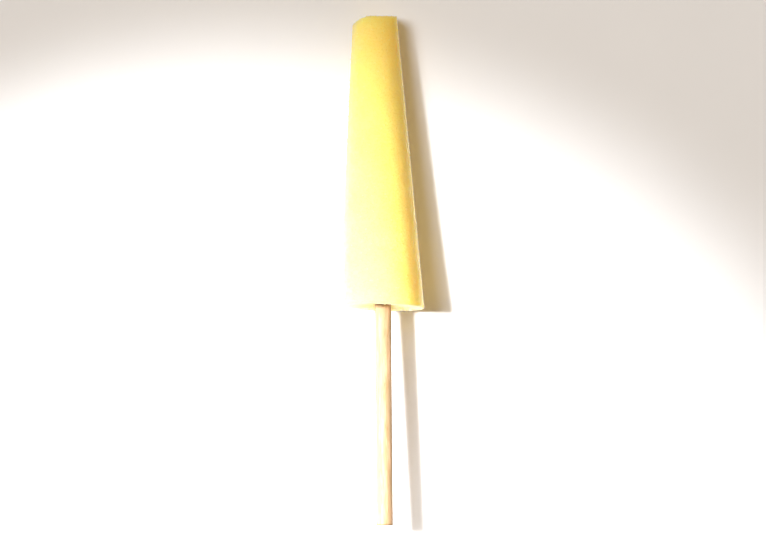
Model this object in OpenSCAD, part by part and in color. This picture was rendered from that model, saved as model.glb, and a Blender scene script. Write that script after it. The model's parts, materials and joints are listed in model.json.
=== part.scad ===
// Foam swab: a tapered block of open-cell foam glued on a round wooden dowel.
//
// Millimetres, +Z up. The swab lies the way it comes to rest on a table: on the side of
// its taper, so that the foam's axis dips towards the tip and the handle's free end is in
// the air. The table is the plane z = 0, the tip points along +X, and the origin is on
// the table under the middle of the whole swab.

/* [Foam head] */
// Length of the foam along its axis
foam_length = 113; // [80:1:150]
// Diameter of the wide end, where the handle goes in
foam_base_d = 32.3; // [26:0.1:40]
// Diameter of the narrow end
foam_tip_d = 17.0; // [14:0.1:22]
// Slant of the cut across the wide end, in degrees: the -Y side is the longer one
base_cut_slant = 3.5; // [0:0.5:6]
// Slant of the cut across the narrow end, in degrees: the +Y side is the longer one
tip_cut_slant = 1.4; // [0:0.1:6]
// Lean of the cut across the narrow end, in degrees: the upper side is the shorter one
tip_cut_lean = 10; // [6:0.5:14]
// Width of the corner torn off the narrow end, on its +Y side
torn_width = 5.8; // [3:0.1:8]
// Length of the torn corner along the foam
torn_length = 3.3; // [1:0.1:5]
// Diameter of the shallow dish where the foam is drawn in round the handle
dish_d = 28; // [16:0.5:29]
// Depth of the dish
dish_depth = 2.2; // [1:0.1:3]
// Depth to which the soft outer cells press flat where the foam lies on the table
rest_flat = 0.25; // [0.15:0.05:0.6]

/* [Dowel handle] */
// Diameter of the dowel: quarter-inch stock
dowel_d = 6.35; // [4.75:0.05:8]
// Length of the dowel outside the foam
exposed_length = 83.5; // [40:0.5:150]
// Length of the dowel inside the foam
buried_length = 86; // [40:1:95]
// Diameter that the buried length tapers to
buried_tip_d = 4.8; // [3:0.1:5.6]
// Width of the eased edge round the free end
edge_ease = 0.4; // [0.1:0.1:0.8]
// Lean of the dowel from the foam's axis, in degrees: its free end goes towards +Y
dowel_lean = 0.9; // [0:0.1:2]
// Distance of the dowel from the foam's axis at the wide end, towards -Y
dowel_offset = 0.5; // [0:0.1:1.5]

/* [Adhesive] */
// Thickness of the glue between the dowel and the foam
glue_thickness = 0.25; // [0.1:0.05:0.5]
// Depth below the dish at which the glue starts
glue_setback = 1.5; // [0.5:0.1:5]

/* [Hidden] */
$fn = 96;

foam_colour = [0.96, 0.83, 0.40];
wood_colour = [0.87, 0.72, 0.53];
glue_colour = [0.90, 0.86, 0.72];

base_r = foam_base_d / 2;
tip_r = foam_tip_d / 2;
dowel_r = dowel_d / 2;
buried_tip_r = buried_tip_d / 2;
taper = (base_r - tip_r) / foam_length;

// Depth at which the dowel starts to taper: a little above the dish's bottom, so that the
// bare handle's straight wall stays clear of the foam
taper_lead = 0.4;
taper_start = dish_depth - taper_lead;

// Dip of the foam's axis when the taper lies along the table
rest_dip = atan(taper);

// Reach of the swab in X, to each side of the middle of the wide end
tip_slope_y = tan(tip_cut_slant) * cos(rest_dip);
tip_slope_z = tan(tip_cut_lean) * cos(rest_dip) - sin(rest_dip);
tip_rim_reach = tip_r * norm([tip_slope_y, tip_slope_z]);
tip_reach = foam_length * cos(rest_dip) + tip_rim_reach;
handle_reach = exposed_length * cos(dowel_lean) * cos(rest_dip) + dowel_r * sin(rest_dip);
base_x = (handle_reach - tip_reach) / 2;

// Room for the cutters past the foam's ends
spare = 10;

// From the foam's own frame, with the middle of the wide end at the origin and the tip
// along +X, to the place on the table
module at_rest() {
    translate([base_x, 0, base_r * cos(rest_dip) - rest_flat])
        rotate([0, rest_dip, 0])
            children();
}

// From the dowel's own frame, with its axis along +X into the foam and the wide end at
// x = 0, to the foam's frame
module on_dowel_axis() {
    translate([0, -dowel_offset, 0])
        rotate([0, 0, -dowel_lean])
            children();
}

// A solid of revolution about the X axis, from points of [x, radius]
module turned(outline) {
    rotate([0, 90, 0])
        rotate_extrude()
            polygon([for (p = outline) [p[1], p[0]]]);
}

// Radius of the buried dowel, plus a layer round it, at x
function buried_r(x, layer) =
    dowel_r + layer + (buried_tip_r - dowel_r) * (x - taper_start) / (buried_length - taper_start);

// The taper before its ends are cut, a little too long at both ends
module foam_blank() {
    turned([
        [-spare, 0],
        [-spare, base_r + taper * spare],
        [foam_length + spare, tip_r - taper * spare],
        [foam_length + spare, 0]
    ]);
}

// What a cut takes off past the point [x, y], on the side that toward gives. The slant
// turns the cut about the upright axis, and the lean tips its upper edge back.
module off_cut(x, y, slant, lean, toward) {
    depth = 3 * spare;
    translate([x, y, 0])
        rotate([0, -lean, slant])
            translate([toward > 0 ? 0 : -depth, -foam_base_d, -foam_base_d])
                cube([depth, 2 * foam_base_d, 2 * foam_base_d]);
}

// What is missing from the block's ends
module end_cuts() {
    torn_slant = atan(torn_length / torn_width);
    off_cut(0, 0, -base_cut_slant, 0, -1);
    off_cut(foam_length, 0, -tip_cut_slant, tip_cut_lean, 1);
    off_cut(foam_length, tip_r - torn_width, torn_slant, tip_cut_lean, 1);
}

// The hole for the dowel and its glue
module dowel_hole() {
    end = buried_length + glue_thickness;
    turned([
        [-spare, 0],
        [-spare, buried_r(taper_start, glue_thickness)],
        [taper_start, buried_r(taper_start, glue_thickness)],
        [end, buried_r(end, glue_thickness)],
        [end, 0]
    ]);
}

// The dish round the handle: a cone square to the slanted cut, which ends inside the hole
module dish() {
    widening = (dish_d / 2 - buried_r(dish_depth, glue_thickness)) / dish_depth;
    end = (dish_d / 2 - buried_tip_r) / widening;
    translate([0, -dowel_offset, 0])
        rotate([0, 0, -base_cut_slant])
            turned([
                [-spare, 0],
                [-spare, dish_d / 2 + widening * spare],
                [end, buried_tip_r],
                [end, 0]
            ]);
}

// What lies under the table's surface
module under_table() {
    translate([-foam_length, -foam_base_d, -2 * spare])
        cube([2 * foam_length, 2 * foam_base_d, 2 * spare]);
}

module foam_head() {
    color(foam_colour)
        difference() {
            at_rest()
                difference() {
                    foam_blank();
                    end_cuts();
                    on_dowel_axis()
                        dowel_hole();
                    dish();
                }
            under_table();
        }
}

module dowel_handle() {
    color(wood_colour)
        at_rest()
            on_dowel_axis()
                turned([
                    [-exposed_length, 0],
                    [-exposed_length, dowel_r - edge_ease],
                    [-exposed_length + edge_ease, dowel_r],
                    [taper_start, dowel_r],
                    [buried_length, buried_tip_r],
                    [buried_length, 0]
                ]);
}

module adhesive_sleeve() {
    start = dish_depth + glue_setback;
    end = buried_length + glue_thickness;
    color(glue_colour)
        at_rest()
            on_dowel_axis()
                turned([
                    [start, buried_r(start, 0)],
                    [start, buried_r(start, glue_thickness)],
                    [end, buried_r(end, glue_thickness)],
                    [end, 0],
                    [buried_length, 0],
                    [buried_length, buried_tip_r]
                ]);
}

foam_head();
dowel_handle();
adhesive_sleeve();
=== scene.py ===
"""Looks of a foam swab: a tapered head of yellow open-cell foam on a round wooden dowel.

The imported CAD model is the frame. A cell-by-cell mesh of the foam replaces the plain foam solid, a
dowel with raised grain replaces the plain dowel, and the glue between them keeps its CAD shape.
Lengths are in metres.
"""

import json
import math

import bpy
import numpy as np
from mathutils import Matrix, Vector
from mathutils.geometry import delaunay_2d_cdt


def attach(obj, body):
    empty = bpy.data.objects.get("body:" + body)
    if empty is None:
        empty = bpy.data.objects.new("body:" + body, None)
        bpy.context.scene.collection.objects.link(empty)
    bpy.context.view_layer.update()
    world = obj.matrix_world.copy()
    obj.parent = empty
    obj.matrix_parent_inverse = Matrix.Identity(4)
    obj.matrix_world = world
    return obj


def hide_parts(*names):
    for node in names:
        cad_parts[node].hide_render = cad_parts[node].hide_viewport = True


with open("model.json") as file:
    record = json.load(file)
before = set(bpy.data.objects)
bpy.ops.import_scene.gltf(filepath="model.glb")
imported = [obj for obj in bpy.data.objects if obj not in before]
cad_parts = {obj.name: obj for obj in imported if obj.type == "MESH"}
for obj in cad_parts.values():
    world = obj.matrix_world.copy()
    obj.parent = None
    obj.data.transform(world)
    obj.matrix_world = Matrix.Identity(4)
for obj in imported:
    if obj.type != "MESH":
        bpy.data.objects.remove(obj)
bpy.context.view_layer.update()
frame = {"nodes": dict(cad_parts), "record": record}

MM = 0.001

# Sizes repeated from the CAD source
FOAM_LENGTH = 113 * MM
BASE_R = 16.15 * MM
TIP_R = 8.5 * MM
BASE_SLANT = math.tan(math.radians(3.5))
TIP_SLANT = math.tan(math.radians(1.4))
TIP_LEAN = math.tan(math.radians(10))
TORN_WIDTH = 5.8 * MM
TORN_LENGTH = 3.3 * MM
DISH_R = 14 * MM
DISH_DEPTH = 2.2 * MM
REST_FLAT = 0.25 * MM
DOWEL_R = 3.175 * MM
EXPOSED_LENGTH = 83.5 * MM
BURIED_LENGTH = 86 * MM
TAPER_START = 1.8 * MM
BURIED_TIP_R = 2.4 * MM
EDGE_EASE = 0.4 * MM
DOWEL_OFFSET = 0.5 * MM
GLUE = 0.25 * MM
TAPER = (BASE_R - TIP_R) / FOAM_LENGTH

# Foam cells: the distance between them, and how far one strays as a share of that distance
CELL = 0.68 * MM
CELL_JITTER = 0.36

# A cell is a pit: its depth and its lopsidedness, as shares of its width
PIT_DEPTH = 0.42
PIT_DEPTH_SPREAD = (0.5, 1.4)
PIT_SHIFT = 0.1

# A few cells are closed by a bulging film, and a few are deep pinholes. The material reads 0 on
# struts, 1 in pits and PINHOLE_PIT in pinholes. From these it paints shade into pits, darker shade
# into pinholes and a highlight onto films.
FILM_SHARE = 0.015
FILM_BULGE = 0.16
PINHOLE_SHARE = 0.004
PINHOLE_DEPTH = 1.3
PINHOLE_PIT = 1.5

# Struts stand out unevenly, and some are frayed, most of them at the rims
STRUT_LIFT = 0.045 * MM
FRAY_LIFT = 0.40 * MM
FRAY_SHARE = 0.012
RIM_FRAY_SHARE = 0.14

# The foam's rounded rims and its dish, and how far its cells go down the bore
RIM_ROUND = 0.3 * MM
RIM_ANGLES = (0, 30, 60, 90)
DISH_POINTS = 7
BORE_CELLS = 2.0 * MM

# The foam's plane map: its points, where it starts, and the least radius that it divides by
MAP_POINTS = 40000
MAP_START = 0.002 * MM
MAP_LEAST_R = 0.001 * MM

# Dowel mesh: points round it, rings on its bare and buried lengths, rings on its end faces as shares
# of their radius, and its eased edge
COLUMNS = 144
BARE_RINGS = 130
BURIED_RINGS = 30
END_RINGS = (0.12, 0.3, 0.5, 0.68, 0.84)
EASE_ANGLES = (0, 22, 45, 68, 90)

# Numbers of grain ridges round the dowel, their height and the most they rise, the loose fibres of
# the saw-cut end, and how far its dark colour reaches along the dowel: darker end grain, and painted
# shade where the end faces away from the light
GRAIN_WAVES = (5, 9, 14, 21, 30, 43)
GRAIN_HEIGHT = 0.011 * MM
GRAIN_TOP = 0.02 * MM
FIBRE = 0.03 * MM
SAW_CUT_SHADE_REACH = 2.2 * EDGE_EASE

# Table: the side of its paper, and the points along that side
FLOOR_SIDE = 6.0
FLOOR_POINTS = 9

# Camera, nearly straight above the swab
CAMERA_PLACE = (-0.0413, 0.004, 1.2)
CAMERA_TARGET = (-0.0021, -0.0008, 0.012)
CAMERA_ROLL = math.radians(1.36)
CAMERA_LENS = 145.28
SENSOR_WIDTH = 36

# Directions towards the lamps. In the camera's view +X is up, and +Y is to the left.
KEY_FROM = (0.21, 0.46, 0.86)
FILL_FROM = (0.1, -0.82, 0.57)
FOAM_POOL_FROM = (0.20, 0.45, 0.87)
HANDLE_POOL_FROM = (0.13, 0.86, 0.42)

# Pools of light: their middles on the table, the distance of their lamps and the softness of their edges
FOAM_POOL_MIDDLE = (-0.112, 0.05, 0)
HANDLE_POOL_MIDDLE = (-0.170, 0.03, 0)
POOL_DISTANCE = 0.9
POOL_BLEND = 0.3

rng = np.random.default_rng(7)


# The frame's own places


def mount(name):
    """The record's mount of that name, as (point, direction)."""
    found = next(m for m in frame["record"]["mounts"] if m["name"] == name)
    return np.array(found["pos_m"]), np.array(found["axis"])


handle_end, outward = mount("handle_end")
dowel_x = -outward / np.linalg.norm(outward)
foam_x = np.array([dowel_x[0], 0.0, dowel_x[2]])
foam_x /= np.linalg.norm(foam_x)
foam_y = np.array([0.0, 1.0, 0.0])
foam_z = np.cross(foam_x, foam_y)
dowel_y = np.cross(foam_z, dowel_x)

FOAM_AXES = np.array([foam_x, foam_y, foam_z])
DOWEL_AXES = np.array([dowel_x, dowel_y, foam_z])
DOWEL_ORIGIN = handle_end + EXPOSED_LENGTH * dowel_x
DOWEL_SLOPE = -dowel_x[1] / dowel_x[0]
FOAM_ORIGIN = DOWEL_ORIGIN + DOWEL_OFFSET * foam_y


# Shapes and meshes


def smooth(t):
    """Smooth step from 0 to 1."""
    t = np.clip(t, 0, 1)
    return t * t * (3 - 2 * t)


def unit(vectors):
    """The vectors at length 1."""
    return vectors / np.maximum(np.linalg.norm(vectors, axis=1, keepdims=True), 1e-20)


def to_world(points, origin, axes):
    """From a piece's own frame to the shared one."""
    return origin + points @ axes


def round_corner(radius, degrees):
    """A rounded rim from face to side, as (drop from the face, distance back from the side)."""
    return [(radius * (1 - math.cos(a)), radius * (1 - math.sin(a))) for a in np.radians(degrees)]


def around_x(x, radius, turn):
    """Points by place along the X axis, distance from it and angle about it."""
    x, radius, turn = np.broadcast_arrays(x, radius, turn)
    return np.column_stack([x.ravel(), (radius * np.cos(turn)).ravel(), (radius * np.sin(turn)).ravel()])


def put(name, data):
    """A new object in the scene for a mesh, a lamp or a camera."""
    made = bpy.data.objects.new(name, data)
    bpy.context.scene.collection.objects.link(made)
    return made


def new_mesh(name, points, faces):
    """A mesh of those points and faces."""
    mesh = bpy.data.meshes.new(name)
    mesh.from_pydata(points.tolist(), [], faces)
    mesh.update()
    return mesh


def new_piece(name, points, faces):
    """A smooth-shaded mesh object that rides on the swab's one CAD body."""
    mesh = new_mesh(name, points, faces)
    mesh.polygons.foreach_set("use_smooth", np.ones(len(mesh.polygons), bool))
    piece = put(name, mesh)
    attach(piece, "root")
    return piece


def set_values(piece, name, values):
    """Writes one number per vertex for the material to read."""
    attribute = piece.data.attributes.new(name, "FLOAT", "POINT")
    attribute.data.foreach_set("value", np.asarray(values, np.float32))


def set_vectors(piece, name, values):
    """Writes one vector per vertex for the material to read."""
    attribute = piece.data.attributes.new(name, "FLOAT_VECTOR", "POINT")
    attribute.data.foreach_set("vector", np.asarray(values, np.float32).ravel())


# Foam head


def foam_outline():
    """The foam's outline as (x, radius), from the middle of the narrow end to inside the bore."""
    rim = round_corner(RIM_ROUND, RIM_ANGLES)
    mouth_r = DOWEL_R + GLUE
    tip = [(FOAM_LENGTH - drop, TIP_R - back) for drop, back in rim]
    base = [(drop, BASE_R - back) for drop, back in reversed(rim)]
    shares = np.linspace(0, 1, DISH_POINTS)
    dish = [(DISH_DEPTH * smooth(t), DISH_R + (mouth_r - DISH_R) * t) for t in shares]
    bore = [(DISH_DEPTH + BORE_CELLS * 2, mouth_r)]
    return np.array([(FOAM_LENGTH, 0)] + tip + base + dish + bore, float)


class FoamSurface:
    """The foam's surface, by distance from the middle of the narrow end and angle about the axis."""

    def __init__(self):
        self.outline = foam_outline()
        steps = np.hypot(*np.diff(self.outline, axis=0).T)
        self.distance = np.concatenate([[0], np.cumsum(steps)])
        self.length = self.distance[-1]
        # The wide end's face starts where the second rim's points end
        self.base_face = self.distance[2 * len(RIM_ANGLES)]
        self.fine = np.linspace(MAP_START, self.length, MAP_POINTS)
        radius = np.maximum(self.at(self.fine)[1], MAP_LEAST_R)
        growth = np.diff(self.fine) * (1 / radius[1:] + 1 / radius[:-1]) / 2
        self.log_map = np.concatenate([[0], np.cumsum(growth)])

    def at(self, s):
        """(x, radius) at a distance."""
        x, radius = self.outline.T
        return np.interp(s, self.distance, x), np.interp(s, self.distance, radius)

    def flat_map(self, s, angle):
        """A plane map of the surface that keeps small shapes, for the triangulation."""
        rho = np.exp(np.interp(s, self.fine, self.log_map))
        return np.column_stack([rho * np.cos(angle), rho * np.sin(angle)])

    def points(self, s, angle):
        """Points in the foam's frame, with the slanted cuts, the worn corner and the off-centre dish."""
        x0, r0 = self.at(s)
        share = r0 / (BASE_R - TAPER * x0)
        x = x0
        # The slanted cuts shift x and the taper follows x, so this takes a few rounds
        for _ in range(3):
            r = share * (BASE_R - TAPER * x)
            y = r * np.cos(angle)
            z = r * np.sin(angle)
            torn = np.clip((y - TIP_R + TORN_WIDTH) / TORN_WIDTH, 0, None)
            start = y * BASE_SLANT
            end = FOAM_LENGTH + y * TIP_SLANT - z * TIP_LEAN - TORN_LENGTH * (torn + torn**2) / 2
            x = start + x0 / FOAM_LENGTH * (end - start)
        inner = smooth((s - self.base_face) / (BASE_R - DISH_R))
        y = y - inner * (DOWEL_OFFSET + np.maximum(x, 0) * DOWEL_SLOPE)
        return np.column_stack([x, y, z])


def foam_seeds(surface):
    """Middles of the cells in jittered rows: (distances, angles)."""
    rows = int(surface.length / (CELL * math.sqrt(0.75)))
    pitch = surface.length / rows
    distances = []
    angles = []
    for row in range(rows):
        s = (row + 0.5) * pitch
        count = max(1, round(2 * math.pi * surface.at(s)[1] / CELL))
        places = np.arange(count) + rng.random() + rng.uniform(-CELL_JITTER, CELL_JITTER, count)
        distances.append(s + rng.uniform(-CELL_JITTER, CELL_JITTER, count) * pitch)
        angles.append(places / count * 2 * math.pi)
    return np.concatenate(distances), np.concatenate(angles)


def triangulate(plane):
    """Triangles between neighbouring seeds on the plane map."""
    _, _, faces, _, _, _ = delaunay_2d_cdt([Vector(p) for p in plane], [], [], 0, 1e-5)
    return np.array(faces)


def seed_normals(points, triangles):
    """Surface normals at the seeds, from the triangles round them."""
    a, b, c = points[triangles].transpose(1, 0, 2)
    across = np.cross(b - a, c - a)
    normals = np.zeros_like(points)
    for corner in range(3):
        np.add.at(normals, triangles[:, corner], across)
    return unit(normals)


def cell_rings(plane, triangles, kept):
    """The triangles round each kept seed in order: (cells, their triangles, first of each cell)."""
    seeds = triangles.ravel()
    faces = np.repeat(np.arange(len(triangles)), 3)
    middle = plane[triangles].mean(1)
    away = middle[faces] - plane[seeds]
    turn = np.arctan2(away[:, 1], away[:, 0])
    wanted = kept[seeds]
    seeds, faces, turn = seeds[wanted], faces[wanted], turn[wanted]
    order = np.lexsort((turn, seeds))
    seeds, faces = seeds[order], faces[order]
    cells, first = np.unique(seeds, return_index=True)
    return cells, faces, np.append(first, len(faces))


def raise_struts(trios, s, seeds, normals):
    """Struts, each in the middle of three seeds and lifted off the surface by its own amount."""
    count = len(trios)
    lift = rng.normal(0, STRUT_LIFT, count)
    from_tip_rim = s[trios].mean(1) - TIP_R
    from_base_rim = from_tip_rim - FOAM_LENGTH
    near_rim = np.minimum(abs(from_tip_rim), abs(from_base_rim)) < CELL
    frayed = rng.random(count) < np.where(near_rim, RIM_FRAY_SHARE, FRAY_SHARE)
    lift = np.where(frayed, rng.random(count) * FRAY_LIFT, lift)
    return seeds[trios].mean(1) + unit(normals[trios].mean(1)) * lift[:, None]


def sink_floors(corners, first, normals):
    """Cell floors below the middles of their struts: (points, which are films, which are pinholes)."""
    count = len(normals)
    sizes = np.diff(first)
    middle = np.add.reduceat(corners, first[:-1]) / sizes[:, None]
    reach = np.linalg.norm(corners - np.repeat(middle, sizes, axis=0), axis=1)
    width = 2 * np.add.reduceat(reach, first[:-1]) / sizes
    film = rng.random(count) < FILM_SHARE
    pinhole = rng.random(count) < PINHOLE_SHARE
    depth = width * PIT_DEPTH * rng.uniform(*PIT_DEPTH_SPREAD, count)
    depth = np.where(pinhole, PINHOLE_DEPTH * width, depth)
    depth = np.where(film, -FILM_BULGE * width, depth)
    side = np.cross(-normals, rng.normal(size=(count, 3)))
    floors = middle - normals * depth[:, None] + side * width[:, None] * PIT_SHIFT
    return floors, film, pinhole


def ring_sides(ring):
    """The sides of a closed ring, as pairs of neighbours."""
    return zip(ring, ring[1:] + ring[:1])


def open_edge(rings):
    """The closed loop of struts where the cells stop, inside the bore."""
    sides = dict.fromkeys(side for ring in rings for side in ring_sides(ring))
    following = {a: b for a, b in sides if (b, a) not in sides}
    loop = [next(iter(following))]
    while following[loop[-1]] != loop[0]:
        loop.append(following[loop[-1]])
    return loop


def blind_end(edge):
    """The bore's blind end in the shared frame: a ring in step with the edge, then its middle."""
    own_edge = (to_world(edge, FOAM_ORIGIN, FOAM_AXES) - DOWEL_ORIGIN) @ DOWEL_AXES.T
    turn = np.arctan2(own_edge[:, 2], own_edge[:, 1])
    x = BURIED_LENGTH + GLUE
    ring = around_x(x, BURIED_TIP_R + GLUE, turn)
    return to_world(np.concatenate([ring, [[x, 0, 0]]]), DOWEL_ORIGIN, DOWEL_AXES)


def bore_faces(edge, start):
    """The bore's wall from the edge to the blind end's ring, and the disc that closes it."""
    faces = []
    for i, (a, b) in enumerate(ring_sides(edge)):
        j = (i + 1) % len(edge)
        faces.append((b, a, start + i, start + j))
        faces.append((start + j, start + i, start + len(edge)))
    return faces


def press_flat(points):
    """The underside's cells squashed where the foam lies on the table."""
    reach = 4 * REST_FLAT
    z = points[:, 2]
    squashed = (z + REST_FLAT) * reach / (reach + REST_FLAT)
    points[:, 2] = np.maximum(np.where(z < reach, squashed, z), 0)
    return points


def build_foam():
    """The foam's outer cells, one by one, and the bore inside. Struts meet where three cells do."""
    surface = FoamSurface()
    s, angle = foam_seeds(surface)
    plane = surface.flat_map(s, angle)
    triangles = triangulate(plane)
    seeds = surface.points(s, angle)
    normals = seed_normals(seeds, triangles)

    cells, ring_trios, first = cell_rings(plane, triangles, s < surface.length - BORE_CELLS)
    used, ring_struts = np.unique(ring_trios, return_inverse=True)
    struts = raise_struts(triangles[used], s, seeds, normals)
    floors, film, pinhole = sink_floors(struts[ring_struts], first, normals[cells])
    rings = [ring_struts[a:b].tolist() for a, b in zip(first, first[1:])]
    faces = [(a, b, len(struts) + k) for k, ring in enumerate(rings) for a, b in ring_sides(ring)]

    points = np.concatenate([struts, floors])
    edge = open_edge(rings)
    bore = blind_end(points[edge])
    faces += bore_faces(edge, len(points))
    outside = press_flat(to_world(points, FOAM_ORIGIN, FOAM_AXES))

    piece = new_piece("foam", np.concatenate([outside, bore]), faces)
    values = (
        ("pit", 0.0, np.where(pinhole, PINHOLE_PIT, 1.0), 1.0),
        ("tone", 0.5, rng.random(len(cells)), 0.5),
        ("film", 0.0, film, 0.0),
    )
    for name, on_struts, on_floors, in_bore in values:
        parts = [np.full(len(struts), on_struts), on_floors, np.full(len(bore), in_bore)]
        set_values(piece, name, np.concatenate(parts))
    return piece


# Dowel


def slow_wave(x, shortest, longest):
    """A wave along the dowel of random phase and pace, from lengths in millimetres."""
    return np.sin(x / (rng.uniform(shortest, longest) * MM) + rng.uniform(0, 6))


def grain_relief(x, turn):
    """Raised grain: ridges that run along the dowel and wander slowly round it."""
    relief = np.zeros_like(x)
    for waves in GRAIN_WAVES:
        phase = rng.uniform(0, 2 * math.pi)
        wander = 0.6 * slow_wave(x, 25, 60)
        fade = 0.6 + 0.4 * slow_wave(x, 9, 22)
        relief += np.cos(waves * turn + phase + wander) * fade / waves**0.5
    return relief * GRAIN_HEIGHT


def dowel_outline():
    """The dowel's outline as (x, radius), from the free end's face to the buried end's."""
    ease = round_corner(EDGE_EASE, EASE_ANGLES)
    bare = np.linspace(-EXPOSED_LENGTH + 1 * MM, TAPER_START, BARE_RINGS)
    outline = [(-EXPOSED_LENGTH, (DOWEL_R - EDGE_EASE) * share) for share in END_RINGS]
    outline += [(-EXPOSED_LENGTH + drop, DOWEL_R - back) for drop, back in ease]
    outline += [(x, DOWEL_R) for x in bare]
    for x in np.linspace(TAPER_START, BURIED_LENGTH, BURIED_RINGS)[1:]:
        share = (x - TAPER_START) / (BURIED_LENGTH - TAPER_START)
        outline.append((x, DOWEL_R + (BURIED_TIP_R - DOWEL_R) * share))
    outline += [(BURIED_LENGTH, BURIED_TIP_R * share) for share in reversed(END_RINGS)]
    return np.array(outline)


def lathe_faces(rows):
    """Quads between neighbouring rings of points, and fans to the two end points that follow them."""
    front = rows * COLUMNS
    last_ring = front - COLUMNS
    quads = []
    fans = []
    for i in range(COLUMNS):
        j = (i + 1) % COLUMNS
        for ring in range(0, last_ring, COLUMNS):
            quads.append((ring + i, ring + j, ring + COLUMNS + j, ring + COLUMNS + i))
        fans.append((front, j, i))
        fans.append((front + 1, last_ring + i, last_ring + j))
    return quads + fans


def build_dowel():
    """A dowel with raised grain and a rough saw-cut end, just inside its CAD size."""
    outline = dowel_outline()
    turn = np.arange(COLUMNS) / COLUMNS * 2 * math.pi
    x, turn = np.meshgrid(outline[:, 0], turn, indexing="ij")
    radius = np.repeat(outline[:, 1:2], COLUMNS, axis=1)
    relief = np.minimum(grain_relief(x, turn), GRAIN_TOP) - GRAIN_TOP
    fibre = abs(rng.normal(0, FIBRE, x.shape))
    on_face = radius < DOWEL_R - 0.9 * EDGE_EASE
    radius = np.where(on_face, radius, radius + relief)
    x = np.where(on_face & (x < 0), x + fibre, x)

    own = np.concatenate([around_x(x, radius, turn), [[-EXPOSED_LENGTH, 0, 0], [BURIED_LENGTH, 0, 0]]])
    piece = new_piece("dowel", to_world(own, DOWEL_ORIGIN, DOWEL_AXES), lathe_faces(len(outline)))
    set_vectors(piece, "own_place", own)
    # Dark end colour over the end face and eased edge, fading a little way along the side: partly darker
    # end grain, partly painted shade where the end faces away from the light
    set_values(piece, "saw_cut_and_shade", 1 - smooth((own[:, 0] + EXPOSED_LENGTH) / SAW_CUT_SHADE_REACH))
    return piece


# Materials


class Nodes:
    """Short calls for building a material's node tree."""

    def __init__(self, name):
        self.material = bpy.data.materials.new(name)
        self.material.use_nodes = True
        self.tree = self.material.node_tree
        self.tree.nodes.clear()

    def add(self, kind, **settings):
        node = self.tree.nodes.new(kind)
        for key, value in settings.items():
            setattr(node, key, value)
        return node

    def fill(self, socket, value):
        """Links another node's output to a socket, or puts a plain value on it."""
        if hasattr(value, "is_output"):
            self.tree.links.new(value, socket)
        else:
            socket.default_value = value

    def math(self, operation, a, b):
        node = self.add("ShaderNodeMath", operation=operation)
        self.fill(node.inputs[0], a)
        self.fill(node.inputs[1], b)
        return node.outputs[0]

    def spread(self, value, low, high, to_low=0.0, to_high=1.0):
        """A smooth step between two values, as the input goes from low to high."""
        node = self.add("ShaderNodeMapRange", interpolation_type="SMOOTHSTEP")
        for socket, given in zip(node.inputs, (value, low, high, to_low, to_high)):
            self.fill(socket, given)
        return node.outputs[0]

    def mix(self, share, a, b):
        """Colour a turned into colour b by a share. Sockets 6 and 7 are the node's two colours."""
        node = self.add("ShaderNodeMix", data_type="RGBA")
        self.fill(node.inputs["Factor"], share)
        self.fill(node.inputs[6], a)
        self.fill(node.inputs[7], b)
        return node.outputs[2]

    def stain(self, colour, mask, low, high, share, stain):
        """A colour with a stain over it, which reaches its full share where the mask is high."""
        return self.mix(self.spread(mask, low, high, 0.0, share), colour, stain)

    def noise(self, place, scale, detail, roughness=0.5):
        node = self.add("ShaderNodeTexNoise")
        self.fill(node.inputs["Vector"], place)
        node.inputs["Scale"].default_value = scale
        node.inputs["Detail"].default_value = detail
        node.inputs["Roughness"].default_value = roughness
        return node.outputs["Fac"]

    def voronoi(self, place, scale):
        node = self.add("ShaderNodeTexVoronoi", feature="F1")
        self.fill(node.inputs["Vector"], place)
        node.inputs["Scale"].default_value = scale
        return node.outputs["Distance"]

    def value(self, name):
        return self.add("ShaderNodeAttribute", attribute_name=name).outputs["Fac"]

    def vector(self, name):
        return self.add("ShaderNodeAttribute", attribute_name=name).outputs["Vector"]

    def place(self):
        return self.add("ShaderNodeTexCoord").outputs["Object"]

    def lengthen(self, place, share):
        """A place whose X runs at a share of its pace, which draws a texture out along X."""
        node = self.add("ShaderNodeMapping")
        self.fill(node.inputs["Vector"], place)
        node.inputs["Scale"].default_value = (share, 1, 1)
        return node.outputs[0]

    def bump(self, height, distance, strength):
        node = self.add("ShaderNodeBump")
        node.inputs["Strength"].default_value = strength
        node.inputs["Distance"].default_value = distance
        self.fill(node.inputs["Height"], height)
        return node.outputs[0]

    def surface(self, **sockets):
        shader = self.add("ShaderNodeBsdfPrincipled")
        for name, value in sockets.items():
            self.fill(shader.inputs[name.replace("_", " ")], value)
        output = self.add("ShaderNodeOutputMaterial")
        self.fill(output.inputs["Surface"], shader.outputs[0])
        return self.material


def rgb(r, g, b):
    """A colour in linear light."""
    return (r, g, b, 1.0)


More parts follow.
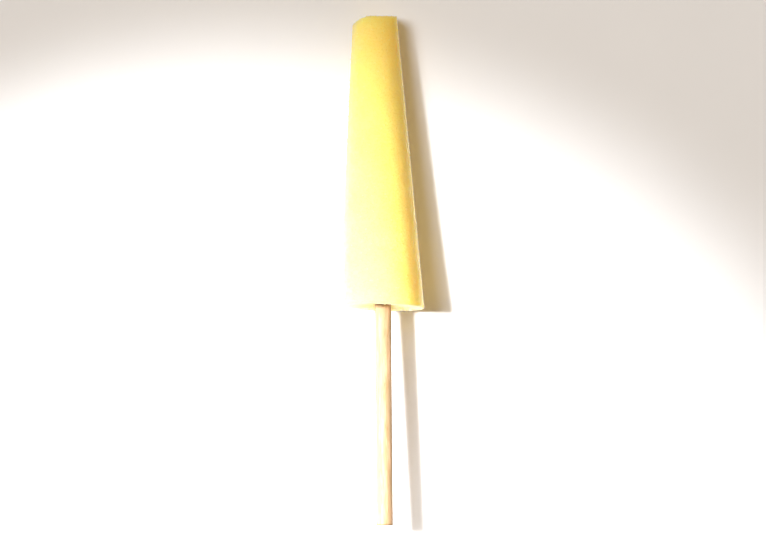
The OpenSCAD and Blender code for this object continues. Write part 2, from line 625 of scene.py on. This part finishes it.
def foam_material():
    n = Nodes("foam_cells")
    place = n.place()
    pit = n.value("pit")
    film = n.value("film")
    patches = n.noise(place, scale=60, detail=3)
    colour = n.mix(n.spread(patches, 0.3, 0.7), rgb(0.97, 0.69, 0.148), rgb(0.98, 0.73, 0.19))
    # Painted shade: pit floors are deeper orange and pinholes dark brown, standing in for shade in the
    # recesses
    colour = n.stain(colour, pit, 0.2, 1.0, 0.6, rgb(0.96, 0.59, 0.064))
    colour = n.stain(colour, pit, 1.0, PINHOLE_PIT, 0.8, rgb(0.45, 0.25, 0.03))
    colour = n.stain(colour, n.value("tone"), 0.0, 1.0, 0.45, rgb(0.96, 0.78, 0.27))
    # Painted highlight: film cells are paler, standing in for glints of light off the films
    colour = n.stain(colour, film, 0.2, 1.0, 0.7, rgb(0.98, 0.88, 0.42))
    windows = n.voronoi(place, scale=3400)
    height = n.math("ADD", windows, n.noise(place, scale=6500, detail=2))
    return n.surface(
        Base_Color=colour,
        Roughness=n.spread(film, 0.2, 0.9, 0.75, 0.22),
        Specular_IOR_Level=0.1,
        Subsurface_Weight=0.9,
        Subsurface_Radius=(1.0, 0.75, 0.3),
        Subsurface_Scale=12 * MM,
        Normal=n.bump(height, distance=0.05 * MM, strength=0.5),
    )


def wood_material():
    n = Nodes("dowel_wood")
    own = n.vector("own_place")
    streaks = n.noise(n.lengthen(own, 0.03), scale=2600, detail=4, roughness=0.6)
    flecks = n.noise(n.lengthen(own, 0.13), scale=1150, detail=2)
    tints = n.noise(n.lengthen(own, 0.10), scale=800, detail=2)
    bands = n.noise(n.lengthen(own, 0.02), scale=420, detail=3)
    pores = n.noise(n.lengthen(own, 0.06), scale=5200, detail=2)
    colour = n.mix(n.spread(bands, 0.35, 0.65), rgb(0.34, 0.235, 0.13), rgb(0.41, 0.29, 0.165))
    colour = n.stain(colour, tints, 0.46, 0.62, 0.6, rgb(0.56, 0.34, 0.21))
    colour = n.stain(colour, flecks, 0.50, 0.66, 0.65, rgb(0.30, 0.19, 0.085))
    colour = n.stain(colour, streaks, 0.44, 0.68, 0.55, rgb(0.34, 0.205, 0.10))
    colour = n.stain(colour, pores, 0.62, 0.70, 0.6, rgb(0.18, 0.10, 0.04))
    speckle = n.noise(own, scale=4200, detail=3, roughness=0.7)
    # Partly real end grain, partly painted shade: dark colour for the free end, which faces away from
    # the light
    end_grain_and_shade = n.mix(n.spread(speckle, 0.35, 0.65), rgb(0.13, 0.07, 0.03), rgb(0.28, 0.17, 0.08))
    height = n.math("SUBTRACT", streaks, n.math("MULTIPLY", pores, 0.8))
    return n.surface(
        Base_Color=n.mix(n.value("saw_cut_and_shade"), colour, end_grain_and_shade),
        Roughness=n.spread(streaks, 0.2, 0.8, 0.55, 0.75),
        Specular_IOR_Level=0.35,
        Normal=n.bump(height, distance=0.06 * MM, strength=0.7),
    )


def glue_material():
    n = Nodes("dried_glue")
    place = n.place()
    clouds = n.noise(place, scale=400, detail=3)
    ripples = n.noise(place, scale=1500, detail=2)
    return n.surface(
        Base_Color=n.mix(clouds, rgb(0.55, 0.40, 0.17), rgb(0.74, 0.60, 0.34)),
        Roughness=n.spread(clouds, 0.3, 0.7, 0.25, 0.5),
        Normal=n.bump(ripples, distance=0.1 * MM, strength=0.5),
    )


def paper_material():
    n = Nodes("paper")
    place = n.place()
    mottle = n.noise(place, scale=25, detail=4)
    fibres = n.noise(place, scale=1800, detail=3)
    return n.surface(
        Base_Color=n.mix(mottle, rgb(0.77, 0.785, 0.82), rgb(0.81, 0.825, 0.86)),
        Roughness=n.spread(fibres, 0.2, 0.8, 0.75, 0.9),
        Normal=n.bump(fibres, distance=0.04 * MM, strength=0.3),
    )


# Scene


def build_floor():
    """A large sheet of paper on the plane z = 0."""
    steps = np.linspace(-FLOOR_SIDE / 2, FLOOR_SIDE / 2, FLOOR_POINTS)
    points = np.array([(x, y, 0.0) for x in steps for y in steps])
    faces = []
    for i in range(FLOOR_POINTS - 1):
        for j in range(FLOOR_POINTS - 1):
            a = i * FLOOR_POINTS + j
            faces.append((a, a + FLOOR_POINTS, a + FLOOR_POINTS + 1, a + 1))
    floor = put("floor", new_mesh("floor", points, faces))
    floor.data.materials.append(paper_material())


def aim(obj, place, target, up=(0, 0, 1)):
    """Puts an object at a place with its -Z axis towards the target."""
    back = (Vector(place) - Vector(target)).normalized()
    right = Vector(up).cross(back).normalized()
    axes = Matrix((right, back.cross(right), back)).transposed()
    obj.matrix_world = Matrix.Translation(place) @ axes.to_4x4()


def build_surround():
    """A soft room: pale near the horizon, warmer and dimmer overhead."""
    world = bpy.data.worlds.new("studio")
    world.use_nodes = True
    tree = world.node_tree
    place = tree.nodes.new("ShaderNodeTexCoord")
    split = tree.nodes.new("ShaderNodeSeparateXYZ")
    height = tree.nodes.new("ShaderNodeMapRange")
    height.interpolation_type = "SMOOTHSTEP"
    height.inputs["From Min"].default_value = 0.03
    height.inputs["From Max"].default_value = 0.6
    tint = tree.nodes.new("ShaderNodeMix")
    tint.data_type = "RGBA"
    tint.inputs[6].default_value = rgb(0.78, 0.64, 0.50)
    tint.inputs[7].default_value = rgb(0.22, 0.145, 0.09)
    tree.links.new(place.outputs["Generated"], split.inputs[0])
    tree.links.new(split.outputs["Z"], height.inputs["Value"])
    tree.links.new(height.outputs[0], tint.inputs["Factor"])
    tree.links.new(tint.outputs[2], tree.nodes["Background"].inputs["Color"])
    bpy.context.scene.world = world


def add_lamp(name, kind, place, target):
    """A lamp at a place, aimed at a target. Returns its settings."""
    light = bpy.data.lights.new(name, kind)
    aim(put(name, light), place, target)
    return light


def add_sun(name, energy, towards, degrees, colour):
    """A sun lamp in a direction, as wide in the sky as that angle."""
    sun = add_lamp(name, "SUN", Vector(towards).normalized(), (0, 0, 0))
    sun.energy = energy
    sun.angle = math.radians(degrees)
    sun.color = colour


def add_pool(name, middle, towards, degrees):
    """A spot lamp whose light falls off softly at the edge of a disc on the table."""
    place = Vector(middle) + Vector(towards).normalized() * POOL_DISTANCE
    pool = add_lamp(name, "SPOT", place, middle)
    pool.spot_size = math.radians(degrees)
    pool.spot_blend = POOL_BLEND
    return pool


def build_lights():
    """A cool key light from the left, a weak, warm and broad fill from the right, and two pools.

    The pools overexpose the wide end and the handle, and leave the narrow end dimmer.
    """
    add_sun("key", energy=1.95, towards=KEY_FROM, degrees=28, colour=(0.93, 0.97, 1.0))
    add_sun("fill", energy=0.68, towards=FILL_FROM, degrees=90, colour=(1.0, 0.75, 0.30))
    foam_pool = add_pool("foam_pool", FOAM_POOL_MIDDLE, FOAM_POOL_FROM, degrees=21)
    foam_pool.energy = 132
    foam_pool.shadow_soft_size = 0.07
    handle_pool = add_pool("handle_pool", HANDLE_POOL_MIDDLE, HANDLE_POOL_FROM, degrees=15)
    handle_pool.energy = 44
    handle_pool.shadow_soft_size = 0.1


def build_camera():
    """A long lens almost straight above, with the tip towards the top of the picture."""
    data = bpy.data.cameras.new("camera")
    data.lens = CAMERA_LENS
    data.sensor_width = SENSOR_WIDTH
    camera = put("camera", data)
    aim(camera, CAMERA_PLACE, CAMERA_TARGET, (math.cos(CAMERA_ROLL), -math.sin(CAMERA_ROLL), 0))
    bpy.context.scene.camera = camera


build_camera()
build_surround()
build_lights()
build_floor()

foam = build_foam()
foam.data.materials.append(foam_material())
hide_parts("foam_head")

dowel = build_dowel()
dowel.data.materials.append(wood_material())
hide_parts("dowel_handle")

glue = frame["nodes"]["adhesive_sleeve"]
for slot in glue.material_slots:
    slot.material = glue_material()

bpy.context.scene.view_settings.view_transform = "Standard"
